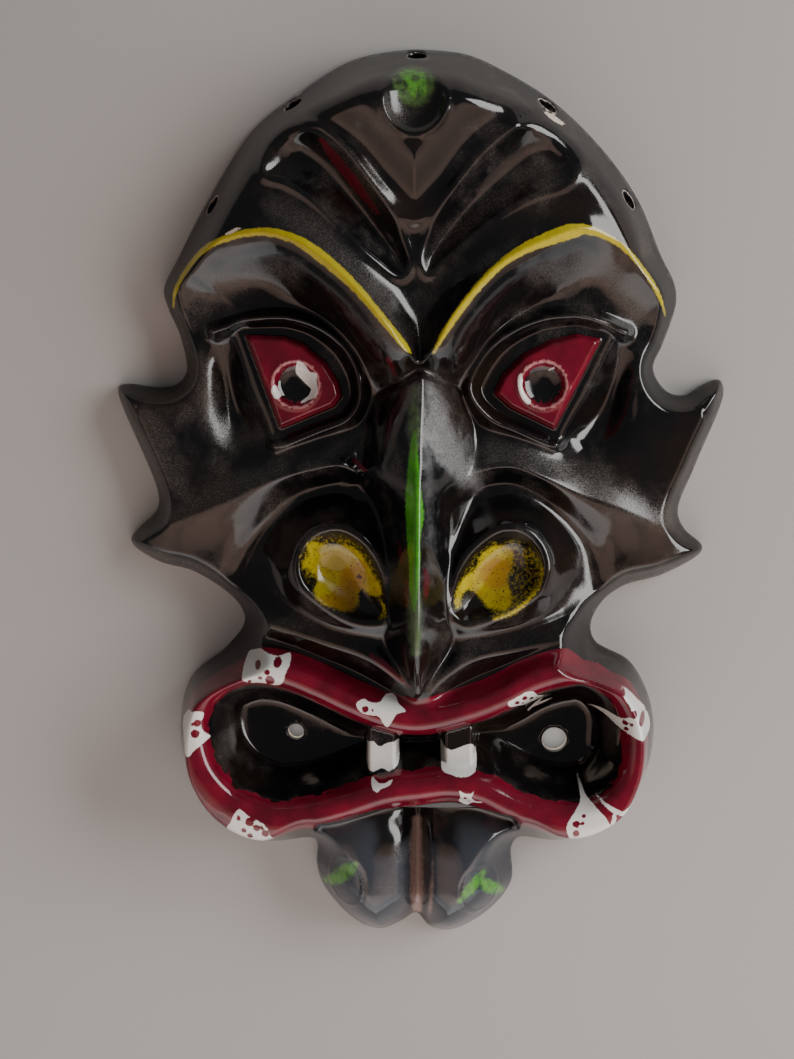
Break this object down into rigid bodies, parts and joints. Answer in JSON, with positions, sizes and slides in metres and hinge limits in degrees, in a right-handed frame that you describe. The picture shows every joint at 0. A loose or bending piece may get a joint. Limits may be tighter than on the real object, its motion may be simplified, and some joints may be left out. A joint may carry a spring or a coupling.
{
  "type": "ceramic wall mask",
  "caption": "Glazed ceramic monster mask with horned brows, flared nostrils, open mouth and tongue; hollow behind, holed along the crown to hang.",
  "frame": {"origin": "middle of the flat back rim's plane, under the centre of the mask's bounding box", "axes": "+Z out of the face, +Y towards the crown, +X to the right seen from the front; the mask lies on its back rim"},
  "size_m": [0.2554, 0.3758, 0.0603],
  "materials": {
    "black_glaze": "glossy black glaze with painted red, yellow, green and white glaze"
  },
  "bodies": {
    "root": {"mask": "black_glaze"}
  },
  "joints": []
}
